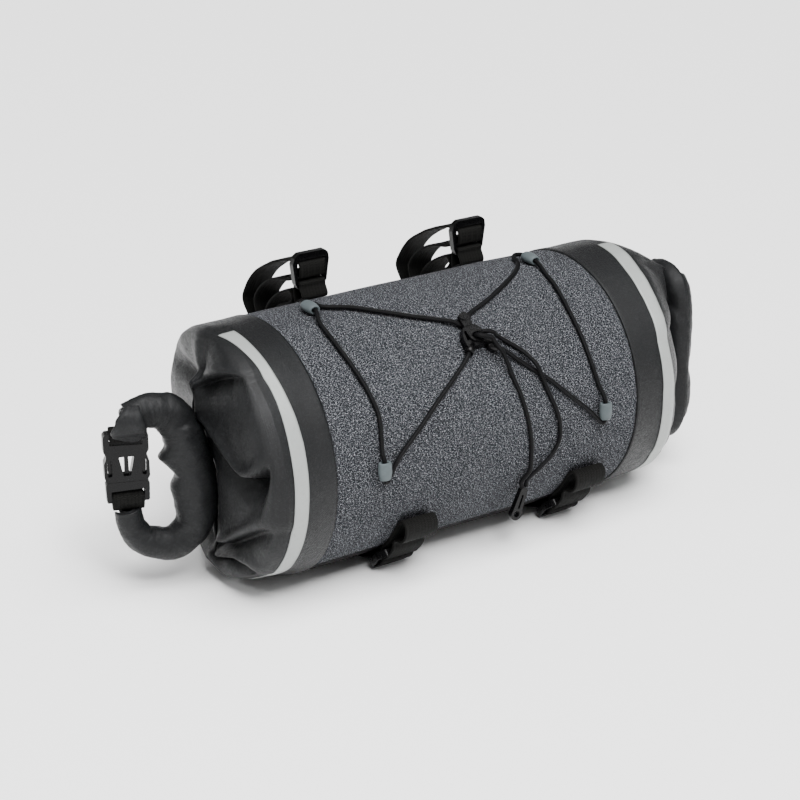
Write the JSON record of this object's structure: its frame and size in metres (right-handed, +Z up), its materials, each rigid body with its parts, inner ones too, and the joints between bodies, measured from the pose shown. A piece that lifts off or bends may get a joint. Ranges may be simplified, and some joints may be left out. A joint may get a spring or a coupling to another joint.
{
  "type": "bicycle handlebar bag",
  "caption": "Cylindrical fabric handlebar bag, rolled shut and buckled at both ends, with webbing handlebar loops and a laced elastic cord over its front.",
  "frame": {"origin": "middle of the footprint, on the surface the bag rests on", "axes": "+X along the bag from its left closure to its right one, +Y towards the handlebar, +Z up"},
  "size_m": [0.4466, 0.21, 0.1916],
  "materials": {
    "grey_cloth": "mélange grey, fine woven",
    "belly_cloth": "matt black, coated weave",
    "coated_cloth": "charcoal with a satin coating",
    "reflective_tape": "silvery reflective",
    "webbing": "black woven polyester webbing",
    "black_plastic": "black moulded, satin",
    "grey_plastic": "grey-green moulded, satin",
    "elastic_cord": "black braided sheath"
  },
  "bodies": {
    "root": {"front_panel": "grey_cloth", "belly_panel": "belly_cloth", "left_end": "coated_cloth", "right_end": "coated_cloth", "left_stripe": "reflective_tape", "right_stripe": "reflective_tape", "left_roll": "coated_cloth", "right_roll": "coated_cloth", "left_corner_tab": "coated_cloth", "right_corner_tab": "coated_cloth", "left_buckle_socket": "black_plastic", "left_buckle_plug": "black_plastic", "right_buckle_socket": "black_plastic", "right_buckle_plug": "black_plastic", "left_top_webbing": "webbing", "right_top_webbing": "webbing", "left_low_webbing": "webbing", "right_low_webbing": "webbing", "left_handlebar_strap": "webbing", "right_handlebar_strap": "webbing", "left_strap_anchor": "webbing", "right_strap_anchor": "webbing", "left_belly_strap": "webbing", "right_belly_strap": "webbing", "left_front_tab": "webbing", "right_front_tab": "webbing", "left_top_slider": "black_plastic", "right_top_slider": "black_plastic", "left_low_slider": "black_plastic", "right_low_slider": "black_plastic", "top_left_guide": "grey_plastic", "top_right_guide": "grey_plastic", "bottom_left_guide": "grey_plastic", "bottom_right_guide": "grey_plastic", "cord_lock": "black_plastic", "bungee_cord": "elastic_cord", "left_pull_cord": "elastic_cord", "right_pull_cord": "elastic_cord", "cord_end_clip": "black_plastic"}
  },
  "joints": []
}
